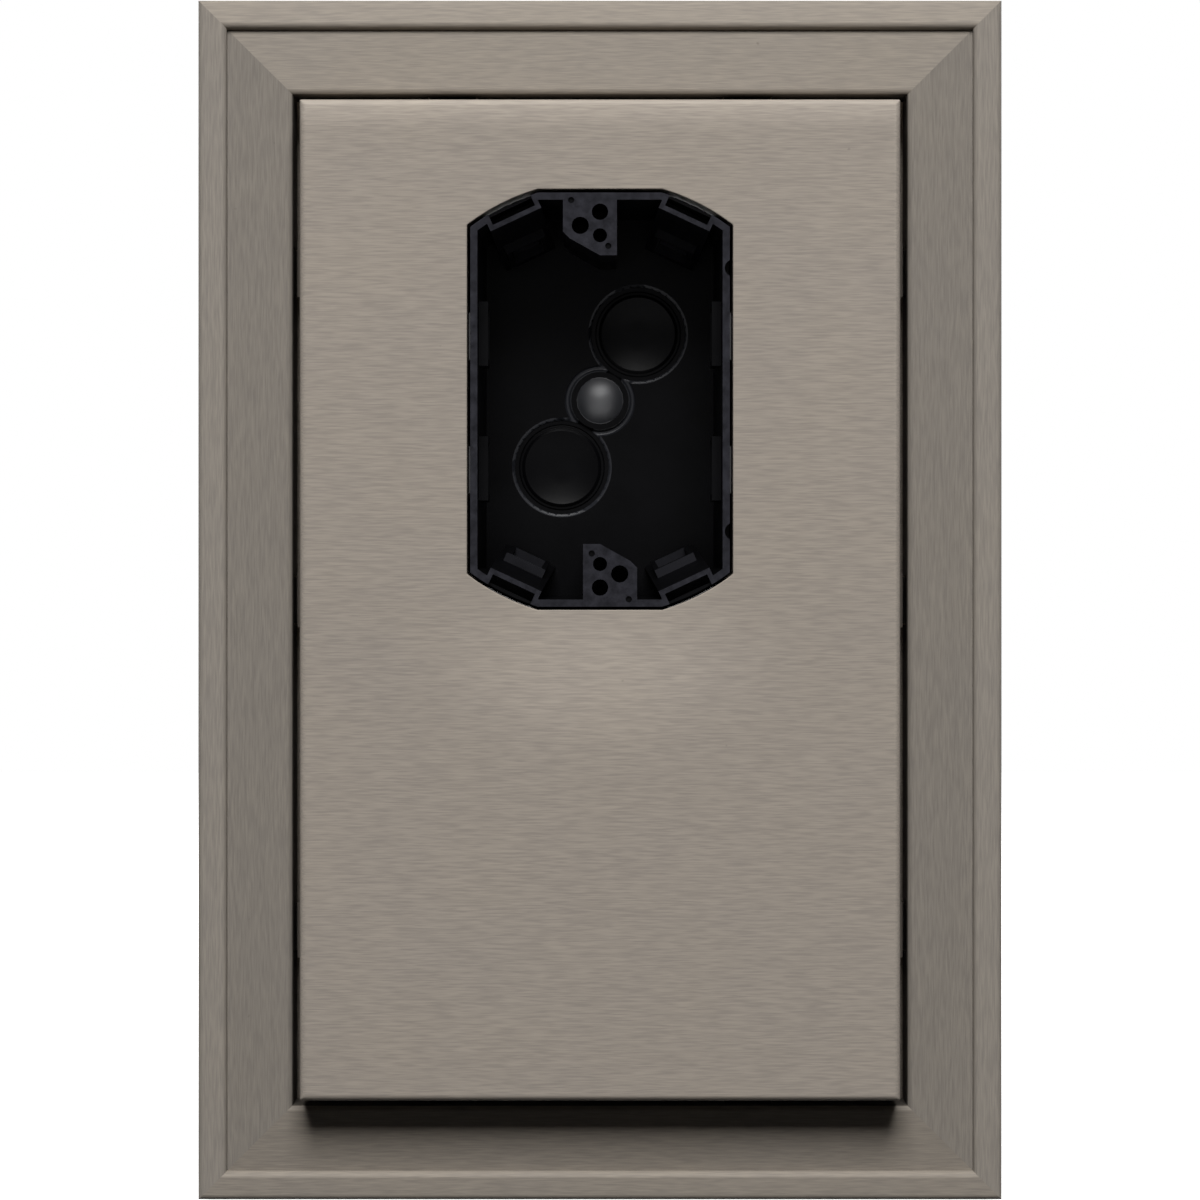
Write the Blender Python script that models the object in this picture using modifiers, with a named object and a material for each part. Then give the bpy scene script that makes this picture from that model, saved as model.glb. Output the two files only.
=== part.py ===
"""Siding mounting block: a moulded base, the trim ring that snaps over it and the box set in its panel.

Metres, +Z up, front towards -Y. The origin lies on the wall plane, at the middle of the panel.
Distances called out are measured from the wall plane, and depths from the rim of the box.
"""

import math

import bmesh
import bpy
from mathutils import Matrix, Vector

MM = 0.001

# Base moulding
PANEL_WIDTH = 152.4 * MM
PANEL_HEIGHT = 254.0 * MM
PANEL_OUT = 38.1 * MM
PANEL_THICKNESS = 2.6 * MM
PANEL_EDGE_RADIUS = 1.8 * MM
SIDE_WALL = 2.4 * MM
SIDE_DRAFT = math.radians(1.0)
FLANGE_WIDTH = 20.0 * MM
FLANGE_THICKNESS = 2.2 * MM
NAIL_SLOT_WIDTH = 3.6 * MM
NAIL_SLOT_LENGTH = 12.0 * MM
RIB_THICKNESS = 1.8 * MM
RIB_DEPTH = 10.0 * MM
RIB_SPACING = 33.0 * MM
COLLAR_WALL = 2.0 * MM

# Trim ring, at rest on siding of this thickness
SIDING = 15.9 * MM
RING_GAP = 2.5 * MM
FRAME_WIDTH = 17.1 * MM
BAND_WIDTH = 7.4 * MM
BAND_HEIGHT = 7.6 * MM
BAND_RADIUS = 1.6 * MM
BAND_STEP = 2.4 * MM
FRAME_RISE = 2.4 * MM
FRAME_EDGE_RADIUS = 1.6 * MM
RING_WALL = 1.9 * MM
SKIRT_WALL = 1.8 * MM
SKIRT_DEPTH = 9.0 * MM

# Snap pawls of the ring, and the ratchets they ride on
LONG_SIDE_PAWLS = 3
SHORT_SIDE_PAWLS = 2
PAWL_WIDTH = 12.0 * MM
PAWL_LENGTH = 11.0 * MM
PAWL_GAP = 0.4 * MM
PAWL_TOOTH_LENGTH = 3.0 * MM
PAWL_CLEARANCE = 0.35 * MM
RATCHET_WIDTH = 14.0 * MM
RATCHET_PITCH = 3.2 * MM
RATCHET_TEETH = 7
RATCHET_HEIGHT = 0.8 * MM
RATCHET_START = 3.6 * MM

# Electrical box
BOX_RISE = 50.8 * MM
BOX_WIDTH = 65.8 * MM
BOX_HEIGHT = 105.0 * MM
BOX_ROUND = 109.6 * MM
BOX_DEPTH = 54.0 * MM
BOX_WALL = 1.8 * MM
BOX_BACK = 2.2 * MM
BOX_DRAFT = math.radians(1.2)
BOX_RECESS = 0.5 * MM
BOX_CLEARANCE = 0.8 * MM
BOX_FLANGE = 2.5 * MM
SEAT_GAP = 0.3 * MM
NOTCH_OFFSET = 33.4 * MM
NOTCH_RADIUS = 2.2 * MM
NOTCH_DEPTH = 1.3 * MM
NOTCH_REACH = 6.0 * MM

# Cable pockets in the corners of the box, and the clamp flap in each
POCKET_ANGLE = math.radians(65.0)
POCKET_WIDTH = 11.8 * MM
POCKET_DEPTH = 3.2 * MM
POCKET_SLOPE = math.radians(8.0)
POCKET_WALL = 1.2 * MM
POCKET_WEB = 15.0 * MM
POCKET_SKIN = 1.0 * MM
POCKET_SKIN_DROP = 2.0 * MM
POCKET_BRIDGE = 0.5 * MM
CLAMP_REAR = 38.0 * MM
CLAMP_LENGTH = 14.0 * MM
CLAMP_WIDTH = 7.6 * MM
CLAMP_GAP = 0.4 * MM
CLAMP_LIP = 1.0 * MM
CLAMP_BORDER = 1.3 * MM
CLAMP_BORDER_HEIGHT = 2.2 * MM

# Latch tongues in the sides of the box
LATCH_OFFSET = 17.2 * MM
LATCH_FRONT = 10.0 * MM
LATCH_LENGTH = 13.0 * MM
LATCH_WIDTH = 12.4 * MM
LATCH_THICKNESS = 1.8 * MM
LATCH_GAP = 0.4 * MM
LATCH_BARB_LENGTH = 5.0 * MM
LATCH_BARB_FLAT = 1.2 * MM
LATCH_BITE = 1.1 * MM
LATCH_PAD_BORDER = 1.6 * MM
LATCH_PAD_HEIGHT = 2.2 * MM

# Screw bosses of the box: hole places are from the box's centre, for the upper boss
BOSS_LEFT = 9.4 * MM
BOSS_RIGHT = 4.3 * MM
BOSS_LEFT_DROP = 42.6 * MM
BOSS_RIGHT_DROP = 36.6 * MM
BOSS_CHAMFER = 1.7 * MM
BOSS_HOLE_DEPTH = 25.0 * MM
DEVICE_HOLE = (0.0, 41.67 * MM, 1.8 * MM)
FIXTURE_HOLE = (-5.0 * MM, 44.17 * MM, 2.2 * MM)
COVER_HOLE = (0.0, 47.63 * MM, 2.1 * MM)

# Back wall of the box: its discs and dome sit a little above the box's centre
BACK_OFFSET = 1.9 * MM
KNOCKOUT_RADIUS = 11.1 * MM
KNOCKOUT_FACE = 9.7 * MM
KNOCKOUT_GROOVE = 12.4 * MM
KNOCKOUT_GROOVE_DEPTH = 0.8 * MM
KNOCKOUT_DISH = 0.6 * MM
KNOCKOUT_GAP = 0.3 * MM
KNOCKOUT_X = 10.1 * MM
KNOCKOUT_Z = 17.6 * MM
DOME_RADIUS = 6.7 * MM
DOME_HEIGHT = 3.9 * MM
DOME_COLLAR_RADIUS = 7.6 * MM
DOME_COLLAR_HEIGHT = 0.8 * MM

# How finely round shapes are cut into flats
ROUND_STEPS = 4
CORNER_STEPS = 6
HOLE_SIDES = 16
DISC_SIDES = 40
DOME_SIDES = 20
DOME_RINGS = 14
SMOOTH_ANGLE = math.radians(30)

# How far a cutter runs past the face that it cuts, and how close points are merged
PASS = 1.0 * MM
MERGE = 0.0001 * MM

CORNERS = ((1, 1), (-1, 1), (-1, -1), (1, -1))
TO_WALL = Vector((0, 1, 0))
RIM_Y = BOX_RECESS - PANEL_OUT
BACK_RISE = BOX_RISE + BACK_OFFSET
BOX_BACK_Y = RIM_Y + BOX_DEPTH
BOX_FLOOR_Y = BOX_BACK_Y - BOX_BACK
COLLAR_END = BOX_FLANGE + SEAT_GAP
RING_OUTER = RING_GAP + FRAME_WIDTH + BAND_WIDTH
SIDES = {
    "left": (Vector((-1, 0, 0)), PANEL_WIDTH / 2, PANEL_HEIGHT, LONG_SIDE_PAWLS),
    "right": (Vector((1, 0, 0)), PANEL_WIDTH / 2, PANEL_HEIGHT, LONG_SIDE_PAWLS),
    "top": (Vector((0, 0, 1)), PANEL_HEIGHT / 2, PANEL_WIDTH, SHORT_SIDE_PAWLS),
    "bottom": (Vector((0, 0, -1)), PANEL_HEIGHT / 2, PANEL_WIDTH, SHORT_SIDE_PAWLS),
}
CORNER_NAMES = {"top_right": (1, 1), "top_left": (-1, 1), "bottom_left": (-1, -1), "bottom_right": (1, -1)}
LATCH_NAMES = {"right_upper": (1, 1), "left_upper": (-1, 1), "left_lower": (-1, -1), "right_lower": (1, -1)}
KNOCKOUT_NAMES = {"upper": 1, "lower": -1}


# Scene helpers

def clear_scene():
    for obj in list(bpy.data.objects):
        bpy.data.objects.remove(obj, do_unlink=True)


def add_collection(name):
    group = bpy.data.collections.new(name)
    bpy.context.scene.collection.children.link(group)
    return group


def plastic(name, colour, roughness):
    material = bpy.data.materials.new(name)
    material.use_nodes = True
    shader = material.node_tree.nodes["Principled BSDF"]
    shader.inputs["Base Color"].default_value = (*colour, 1)
    shader.inputs["Roughness"].default_value = roughness
    shader.inputs["Metallic"].default_value = 0
    return material


def add_object(name, bm, group, matrix=Matrix()):
    """Makes an object of the shape in bm, which is drawn in the frame that matrix places."""
    bmesh.ops.remove_doubles(bm, verts=bm.verts, dist=MERGE)
    bmesh.ops.recalc_face_normals(bm, faces=bm.faces)
    mesh = bpy.data.meshes.new(name)
    bm.to_mesh(mesh)
    bm.free()
    mesh.shade_smooth()
    mesh.set_sharp_from_angle(angle=SMOOTH_ANGLE)
    obj = bpy.data.objects.new(name, mesh)
    obj.matrix_world = matrix
    group.objects.link(obj)
    return obj


def add_cutter(name, bm, group):
    cutter = add_object(name, bm, group)
    cutter.hide_render = True
    cutter.display_type = "WIRE"
    return cutter


def boolean(obj, other, operation):
    step = obj.modifiers.new(f"{operation.lower()} {other.name}", "BOOLEAN")
    step.operation = operation
    step.solver = "EXACT"
    step.object = other


def apply_steps(obj, steps, cutters):
    """Gives obj one Boolean for each shape function and operation."""
    for shape, operation in steps:
        bm = bmesh.new()
        shape(bm)
        boolean(obj, add_cutter(f"{obj.name} {shape.__name__}", bm, cutters), operation)


# Shape helpers

def arc(centre, radius, start, end):
    """Points of an arc from start to end, in degrees."""
    turns = [math.radians(start + (end - start) * i / ROUND_STEPS) for i in range(ROUND_STEPS + 1)]
    return [(centre[0] + radius * math.cos(turn), centre[1] + radius * math.sin(turn)) for turn in turns]


def cuboid(bm, low, high, matrix=Matrix()):
    low, high = Vector(low), Vector(high)
    fitted = Matrix.Translation((low + high) / 2) @ Matrix.Diagonal((*(high - low), 1))
    bmesh.ops.create_cube(bm, size=1, matrix=matrix @ fitted)


def cylinder(bm, x, z, radius, y_front, y_back, sides):
    """Adds a round bar along Y."""
    place = Matrix.Translation((x, (y_front + y_back) / 2, z)) @ Matrix.Rotation(math.pi / 2, 4, "X")
    bmesh.ops.create_cone(bm, cap_ends=True, segments=sides, radius1=radius, radius2=radius,
                          depth=y_back - y_front, matrix=place)


def prism(bm, outline, half_length, matrix=Matrix()):
    """Adds a solid with this (y, z) outline, running half_length each way along x."""
    face = bm.faces.new([bm.verts.new((-half_length, y, z)) for y, z in outline])
    start = list(face.verts)
    grown = bmesh.ops.extrude_face_region(bm, geom=[face])["geom"]
    end = [item for item in grown if isinstance(item, bmesh.types.BMVert)]
    bmesh.ops.translate(bm, verts=end, vec=(2 * half_length, 0, 0))
    bmesh.ops.transform(bm, matrix=matrix, verts=start + end)


def loft(bm, front, back, y_front, y_back):
    """Adds a solid between two (x, z) outlines with as many points each."""
    edges = []
    for outline, y in ((front, y_front), (back, y_back)):
        face = bm.faces.new([bm.verts.new((x, y, z)) for x, z in outline])
        edges += list(face.edges)
    bmesh.ops.bridge_loops(bm, edges=edges)


def sweep_round_panel(bm, profile, closed):
    """Carries a profile of (outset, out) points round the edge of the panel, mitred at the corners."""
    rings = []
    for outset, out in profile:
        half_width = PANEL_WIDTH / 2 + outset
        half_height = PANEL_HEIGHT / 2 + outset
        rings.append([bm.verts.new((x * half_width, -out, z * half_height)) for x, z in CORNERS])
    if closed:
        rings.append(rings[0])
    else:
        bm.faces.new(rings[0])
        bm.faces.new(rings[-1])
    for ring, following in zip(rings, rings[1:]):
        for i in range(len(CORNERS)):
            bm.faces.new((ring[i - 1], ring[i], following[i], following[i - 1]))


def frame_at(origin, y_axis, z_axis):
    """Matrix of a frame with its x axis square to the two given."""
    matrix = Matrix((y_axis.cross(z_axis), y_axis, z_axis)).transposed().to_4x4()
    matrix.translation = origin
    return matrix


def side_places(span, count):
    """Middles of count equal stretches along a side."""
    return [span * ((i + 0.5) / count - 0.5) for i in range(count)]


def box_section(offset):
    """Outline of the box grown by offset: a rectangle whose corners are cut back by a circle."""
    half_width = BOX_WIDTH / 2 + offset
    half_height = BOX_HEIGHT / 2 + offset
    radius = BOX_ROUND / 2 + offset
    corner = math.atan2(half_height, half_width)
    start = min(corner, math.acos(min(1, half_width / radius)))
    end = max(corner, math.asin(min(1, half_height / radius)))
    quarter = []
    for i in range(CORNER_STEPS + 1):
        turn = start + (end - start) * i / CORNER_STEPS
        reach = min(radius, half_width / math.cos(turn), half_height / math.sin(turn))
        quarter.append((reach * math.cos(turn), reach * math.sin(turn)))
    points = []
    for x, z in CORNERS:
        run = quarter if x == z else reversed(quarter)
        points += [(x * px, BOX_RISE + z * pz) for px, pz in run]
    return points


def drafted_section(depth, inset):
    return box_section(-inset - depth * math.tan(BOX_DRAFT))


# Frames of the moving pieces, each with its hinge along its x axis

def pawl_frames(side):
    """Hinges of the ring's pawls on one side: y towards the wall, z away from the block."""
    outward, reach, span, count = SIDES[side]
    run = TO_WALL.cross(outward)
    root = outward * (reach + RING_GAP + SKIRT_WALL / 2) - TO_WALL * (SIDING - SKIRT_DEPTH + PAWL_LENGTH)
    return [frame_at(root + run * place, TO_WALL, outward) for place in side_places(span, count)]


def ratchet_frames(side):
    """Feet of the ratchets on one side of the base, in line with the pawls."""
    outward, reach, span, count = SIDES[side]
    run = TO_WALL.cross(outward)
    return [frame_at(outward * reach + run * place, TO_WALL, outward) for place in side_places(span, count)]


def latch_frame(x, z):
    """Hinge of a latch tongue: y towards the wall, z out of the box."""
    middle = LATCH_FRONT + LATCH_LENGTH / 2
    reach = BOX_WIDTH / 2 - middle * math.tan(BOX_DRAFT) - BOX_WALL / 2
    origin = Vector((x * reach, RIM_Y + LATCH_FRONT, BOX_RISE + z * LATCH_OFFSET))
    return frame_at(origin, TO_WALL, Vector((x, 0, 0)))


def pocket_frame(x, z):
    """Mouth of a corner pocket, on the round of the rim: y towards the wall, z into the box."""
    inward = -Vector((x * math.cos(POCKET_ANGLE), 0, z * math.sin(POCKET_ANGLE)))
    origin = Vector((0, RIM_Y, BOX_RISE)) - inward * BOX_ROUND / 2
    return frame_at(origin, TO_WALL, inward)


def pocket_floor(depth):
    return POCKET_DEPTH + depth * math.tan(POCKET_SLOPE)


def clamp_frame(x, z):
    """Hinge of a clamp flap, in the sloping floor of its pocket: z into the box."""
    middle = pocket_floor(CLAMP_REAR) + POCKET_WALL / 2
    place = Matrix.Translation((0, CLAMP_REAR, middle)) @ Matrix.Rotation(POCKET_SLOPE, 4, "X")
    return pocket_frame(x, z) @ place


# Base moulding

def base_profile():
    """Section of the base from the middle of its front to the middle of its hollow back."""
    root_out = FLANGE_THICKNESS
    edge_out = PANEL_OUT - PANEL_EDGE_RADIUS
    spread = (edge_out - root_out) * math.tan(SIDE_DRAFT)
    round_edge = arc((-PANEL_EDGE_RADIUS, edge_out), PANEL_EDGE_RADIUS, 90, 0)
    return round_edge + [
        (spread, root_out),
        (FLANGE_WIDTH, root_out),
        (FLANGE_WIDTH, 0),
        (spread - SIDE_WALL, 0),
        (-SIDE_WALL, PANEL_OUT - PANEL_THICKNESS),
    ]


def collar_body(bm):
    outline = box_section(BOX_CLEARANCE + COLLAR_WALL)
    loft(bm, outline, outline, PANEL_THICKNESS / 2 - PANEL_OUT, -COLLAR_END)


def panel_opening(bm):
    outline = box_section(BOX_CLEARANCE)
    loft(bm, outline, outline, -PANEL_OUT - PASS, PASS)


def rib_levels():
    """Ends of the ribs across the panel's back."""
    front = PANEL_THICKNESS / 2 - PANEL_OUT
    back = PANEL_THICKNESS + RIB_DEPTH - PANEL_OUT
    side = (PANEL_WIDTH - SIDE_WALL) / 2
    foot = (SIDE_WALL - PANEL_HEIGHT) / 2
    return front, back, side, foot


def upright_ribs(bm):
    """Two ribs from the collar down to the lower side wall."""
    front, back, _, foot = rib_levels()
    for x in (-RIB_SPACING / 2, RIB_SPACING / 2):
        low = (x - RIB_THICKNESS / 2, front, foot)
        high = (x + RIB_THICKNESS / 2, back, BOX_RISE - BOX_HEIGHT / 2 - BOX_CLEARANCE - COLLAR_WALL / 2)
        cuboid(bm, low, high)


def level_ribs(bm):
    """A rib across the lower half, and one from each side of the collar to the side wall."""
    front, back, side, foot = rib_levels()
    middle = (foot + BOX_RISE - BOX_HEIGHT / 2) / 2
    cuboid(bm, (-side, front, middle - RIB_THICKNESS / 2), (side, back, middle + RIB_THICKNESS / 2))
    collar = BOX_WIDTH / 2 + BOX_CLEARANCE + COLLAR_WALL / 2
    for start, end in ((-side, -collar), (collar, side)):
        cuboid(bm, (start, front, BOX_RISE - RIB_THICKNESS / 2), (end, back, BOX_RISE + RIB_THICKNESS / 2))


def ratchets(bm):
    """Ladders of saw teeth on the side walls, ramped on the front so that the ring pushes on."""
    spread = (PANEL_OUT - FLANGE_THICKNESS) * math.tan(SIDE_DRAFT)
    last = -RATCHET_START - RATCHET_PITCH * RATCHET_TEETH
    outline = [(last, -SIDE_WALL / 2), (last, spread)]
    for tooth in range(RATCHET_TEETH, 0, -1):
        heel = -RATCHET_START - RATCHET_PITCH * (tooth - 1)
        outline += [(heel, spread + RATCHET_HEIGHT), (heel, spread)]
    outline.append((-RATCHET_START, -SIDE_WALL / 2))
    for side in SIDES:
        for frame in ratchet_frames(side):
            prism(bm, outline, RATCHET_WIDTH / 2, frame)


def nail_slots(bm):
    """Long holes along the flange, between and beside the pawls."""
    half = NAIL_SLOT_WIDTH / 2
    straight = NAIL_SLOT_LENGTH / 2 - half
    stadium = arc((straight, 0), half, -90, 90) + arc((-straight, 0), half, 90, 270)
    for outward, reach, span, count in SIDES.values():
        middle = outward * (reach + FLANGE_WIDTH / 2)
        for place in side_places(span + FLANGE_WIDTH, count + 1):
            centre = middle + TO_WALL.cross(outward) * place
            if outward.x:
                points = [(centre.x + across, centre.z + along) for along, across in stadium]
            else:
                points = [(centre.x + along, centre.z + across) for along, across in stadium]
            loft(bm, points, points, -FLANGE_THICKNESS - PASS, PASS)


def latch_catches(bm):
    """Windows in the collar where the latch barbs catch."""
    for x, z in LATCH_NAMES.values():
        half = LATCH_WIDTH / 2 + LATCH_GAP
        low = (-half, LATCH_LENGTH - LATCH_BARB_LENGTH - LATCH_GAP, 0)
        high = (half, LATCH_LENGTH + LATCH_GAP, 2 * (BOX_WALL + BOX_CLEARANCE + COLLAR_WALL))
        cuboid(bm, low, high, latch_frame(x, z))


def build_base(parts, cutters, material):
    bm = bmesh.new()
    sweep_round_panel(bm, base_profile(), closed=False)
    base = add_object("mounting_base", bm, parts)
    steps = (
        (collar_body, "UNION"),
        (upright_ribs, "UNION"),
        (level_ribs, "UNION"),
        (ratchets, "UNION"),
        (panel_opening, "DIFFERENCE"),
        (nail_slots, "DIFFERENCE"),
        (latch_catches, "DIFFERENCE"),
    )
    apply_steps(base, steps, cutters)
    base.data.materials.append(material)


# Trim ring

def ring_profile():
    """Section of the trim ring, from the back of its outer lip over the face to the skirt and inside."""
    outer = RING_OUTER
    band_inner = RING_GAP + FRAME_WIDTH
    top = SIDING + BAND_HEIGHT
    foot = top - BAND_STEP
    crest = foot + FRAME_RISE
    inside = RING_GAP + SKIRT_WALL
    end = SIDING - SKIRT_DEPTH
    slope = FRAME_RISE / (FRAME_WIDTH - FRAME_EDGE_RADIUS)
    under_crest = crest - (SKIRT_WALL - FRAME_EDGE_RADIUS) * slope - RING_WALL
    shoulder = min(BAND_RADIUS, BAND_STEP)
    return (
        [(outer, SIDING)]
        + arc((outer - BAND_RADIUS, top - BAND_RADIUS), BAND_RADIUS, 0, 90)
        + arc((band_inner + shoulder, top - shoulder), shoulder, 90, 180)
        + [(band_inner, foot)]
        + arc((RING_GAP + FRAME_EDGE_RADIUS, crest - FRAME_EDGE_RADIUS), FRAME_EDGE_RADIUS, 90, 180)
        + [(RING_GAP, end), (inside, end), (inside, under_crest)]
        + [(band_inner + RING_WALL, foot - RING_WALL), (band_inner + RING_WALL, top - RING_WALL)]
        + [(outer - RING_WALL, top - RING_WALL), (outer - RING_WALL, SIDING)]
    )


def pawl_notches(bm):
    """Notches in the skirt that leave each pawl free on three sides."""
    half = PAWL_WIDTH / 2 + PAWL_GAP
    for side in SIDES:
        for frame in pawl_frames(side):
            cuboid(bm, (-half, -PAWL_GAP / 2, -SKIRT_WALL), (half, PAWL_LENGTH + PASS, SKIRT_WALL), frame)


def build_ring(parts, cutters, material):
    bm = bmesh.new()
    sweep_round_panel(bm, ring_profile(), closed=True)
    bmesh.ops.translate(bm, verts=bm.verts, vec=TO_WALL * SIDING)
    ring = add_object("trim_ring", bm, parts, Matrix.Translation(-TO_WALL * SIDING))
    apply_steps(ring, ((pawl_notches, "DIFFERENCE"),), cutters)
    ring.data.materials.append(material)
    return ring


def pawl_outline():
    """Side view of a pawl: a finger with a tooth near its tip that points at the ratchet."""
    half = SKIRT_WALL / 2
    spread = (PANEL_OUT - FLANGE_THICKNESS) * math.tan(SIDE_DRAFT)
    tip = spread + RATCHET_HEIGHT + PAWL_CLEARANCE - RING_GAP - half
    return [
        (PAWL_GAP / 2, -half),
        (PAWL_LENGTH - PAWL_TOOTH_LENGTH, -half),
        (PAWL_LENGTH - PAWL_TOOTH_LENGTH, tip),
        (PAWL_LENGTH, -half),
        (PAWL_LENGTH, half),
        (PAWL_GAP / 2, half),
    ]


def build_pawls(parts, ring, material):
    for side in SIDES:
        for number, frame in enumerate(pawl_frames(side), start=1):
            bm = bmesh.new()
            prism(bm, pawl_outline(), PAWL_WIDTH / 2)
            pawl = add_object(f"snap_pawl_{side}_{number}", bm, parts, frame)
            pawl.data.materials.append(material)
            pawl.parent = ring
            pawl.matrix_parent_inverse = ring.matrix_world.inverted()


# Electrical box

def box_flange(bm):
    """Flange on the wall plane that holds the box behind the collar."""
    outline = box_section(BOX_CLEARANCE + COLLAR_WALL)
    loft(bm, outline, outline, -BOX_FLANGE, 0)


def box_cavity_blank(bm):
    depth = BOX_DEPTH - BOX_BACK
    front = drafted_section(-PASS, BOX_WALL)
    loft(bm, front, drafted_section(depth, BOX_WALL), RIM_Y - PASS, BOX_FLOOR_Y)


def pocket_wedges(bm, outer, wall):
    """Wedges in the four corners inside an outer side of (depth, inset) points, grown by a wall."""
    start, end = outer[0][0], outer[-1][0]
    outline = [*outer, (end, pocket_floor(end) + wall), (start, pocket_floor(start) + wall)]
    for x, z in CORNERS:
        prism(bm, outline, POCKET_WIDTH / 2 + wall, pocket_frame(x, z))


def stepped_side(start, step, end, inset):
    """Outer side of a pocket that is open at first and has an inset from a step on."""
    return [(start, -BOX_CLEARANCE), (step, -BOX_CLEARANCE), (step, inset), (end, inset)]


def pockets(bm):
    """Blind pockets with an outer skin, and cable ways from the web behind them to the back."""
    pocket_wedges(bm, stepped_side(-PASS, POCKET_SKIN_DROP, POCKET_WEB, POCKET_SKIN), 0)
    flange_depth = -RIM_Y - BOX_FLANGE
    cable_way = stepped_side(POCKET_WEB + POCKET_WALL, flange_depth, BOX_DEPTH + PASS, POCKET_BRIDGE)
    pocket_wedges(bm, cable_way, 0)


def pocket_walls(bm):
    pocket_wedges(bm, [(-PASS, -BOX_WALL), (BOX_DEPTH + PASS, -BOX_WALL)], POCKET_WALL)


def clamp_borders(bm):
    """Raised edges round the clamp windows, inside the box."""
    across = CLAMP_WIDTH / 2 + CLAMP_GAP + CLAMP_BORDER
    top = POCKET_WALL / 2 + CLAMP_BORDER_HEIGHT
    for x, z in CORNERS:
        low = (-across, -CLAMP_LENGTH - CLAMP_GAP - CLAMP_BORDER, 0)
        cuboid(bm, low, (across, CLAMP_GAP + CLAMP_BORDER, top), clamp_frame(x, z))


def clamp_windows(bm):
    across = CLAMP_WIDTH / 2 + CLAMP_GAP
    high = POCKET_WALL + CLAMP_BORDER_HEIGHT
    for x, z in CORNERS:
        low = (-across, -CLAMP_LENGTH - CLAMP_GAP, -POCKET_WALL)
        cuboid(bm, low, (across, CLAMP_GAP / 2, high), clamp_frame(x, z))


def latch_pads(bm):
    """Raised edges round the latch windows, inside the box."""
    across = LATCH_WIDTH / 2 + LATCH_GAP + LATCH_PAD_BORDER
    height = BOX_WALL / 2 + LATCH_PAD_HEIGHT
    for x, z in LATCH_NAMES.values():
        high = (across, LATCH_LENGTH + LATCH_GAP + LATCH_PAD_BORDER, BOX_WALL / 2)
        cuboid(bm, (-across, -LATCH_PAD_BORDER, -height), high, latch_frame(x, z))


def latch_windows(bm):
    across = LATCH_WIDTH / 2 + LATCH_GAP
    height = BOX_WALL + LATCH_PAD_HEIGHT
    for x, z in LATCH_NAMES.values():
        low = (-across, -LATCH_GAP / 2, -height)
        cuboid(bm, low, (across, LATCH_LENGTH + LATCH_GAP, BOX_WALL), latch_frame(x, z))


def screw_bosses(bm):
    """Columns for the device screws, from the rim to the back wall: the lower is the upper turned round."""
    top = BOX_HEIGHT / 2
    outline = [
        (-BOSS_LEFT, top),
        (-BOSS_LEFT, BOSS_LEFT_DROP),
        (-BOSS_LEFT + BOSS_CHAMFER, BOSS_LEFT_DROP - BOSS_CHAMFER),
        (0, BOSS_RIGHT_DROP),
        (BOSS_RIGHT, BOSS_RIGHT_DROP),
        (BOSS_RIGHT, top),
    ]
    for turn in (1, -1):
        points = [(turn * x, BOX_RISE + turn * z) for x, z in outline]
        loft(bm, points, points, RIM_Y, BOX_BACK_Y)


def screw_holes(bm):
    for x, z, radius in (DEVICE_HOLE, FIXTURE_HOLE, COVER_HOLE):
        for turn in (1, -1):
            end = RIM_Y + BOSS_HOLE_DEPTH
            cylinder(bm, turn * x, BOX_RISE + turn * z, radius, RIM_Y - PASS, end, HOLE_SIDES)


def pry_notches(bm):
    """Two round notches in the outer edge of the rim, on the right, where a blade can lift the box."""
    x = BOX_WIDTH / 2 - NOTCH_DEPTH + NOTCH_RADIUS
    for z in (BOX_RISE - NOTCH_OFFSET, BOX_RISE + NOTCH_OFFSET):
        cylinder(bm, x, z, NOTCH_RADIUS, RIM_Y - PASS, RIM_Y + NOTCH_REACH, HOLE_SIDES)


def centre_dome(bm):
    """Cap of a sphere in the middle of the back wall."""
    radius = (DOME_RADIUS ** 2 + DOME_HEIGHT ** 2) / (2 * DOME_HEIGHT)
    centre = Vector((0, BOX_FLOOR_Y + radius - DOME_HEIGHT, BACK_RISE))
    place = Matrix.Translation(centre) @ Matrix.Rotation(math.pi / 2, 4, "X")
    bmesh.ops.create_uvsphere(bm, u_segments=DOME_SIDES, v_segments=DOME_RINGS, radius=radius, matrix=place)


def dome_collar(bm):
    front = BOX_FLOOR_Y - DOME_COLLAR_HEIGHT
    cylinder(bm, 0, BACK_RISE, DOME_COLLAR_RADIUS, front, BOX_BACK_Y, DISC_SIDES)


def knockout_place(turn):
    return turn * KNOCKOUT_X, BACK_RISE + turn * KNOCKOUT_Z


def knockout_holes(bm):
    for turn in KNOCKOUT_NAMES.values():
        hole = KNOCKOUT_RADIUS + KNOCKOUT_GAP
        cylinder(bm, *knockout_place(turn), hole, BOX_FLOOR_Y - PASS, BOX_BACK_Y + PASS, DISC_SIDES)


def knockout_grooves(bm):
    end = BOX_FLOOR_Y + KNOCKOUT_GROOVE_DEPTH
    for turn in KNOCKOUT_NAMES.values():
        cylinder(bm, *knockout_place(turn), KNOCKOUT_GROOVE, BOX_FLOOR_Y - PASS, end, DISC_SIDES)


def build_cavity(cutters):
    """Hollow of the box, less the walls, bosses and pads that stand in it."""
    bm = bmesh.new()
    box_cavity_blank(bm)
    cavity = add_cutter("box_cavity", bm, cutters)
    kept = (pocket_walls, clamp_borders, latch_pads, screw_bosses, dome_collar, centre_dome)
    apply_steps(cavity, [(shape, "DIFFERENCE") for shape in kept], cutters)
    return cavity


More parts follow.
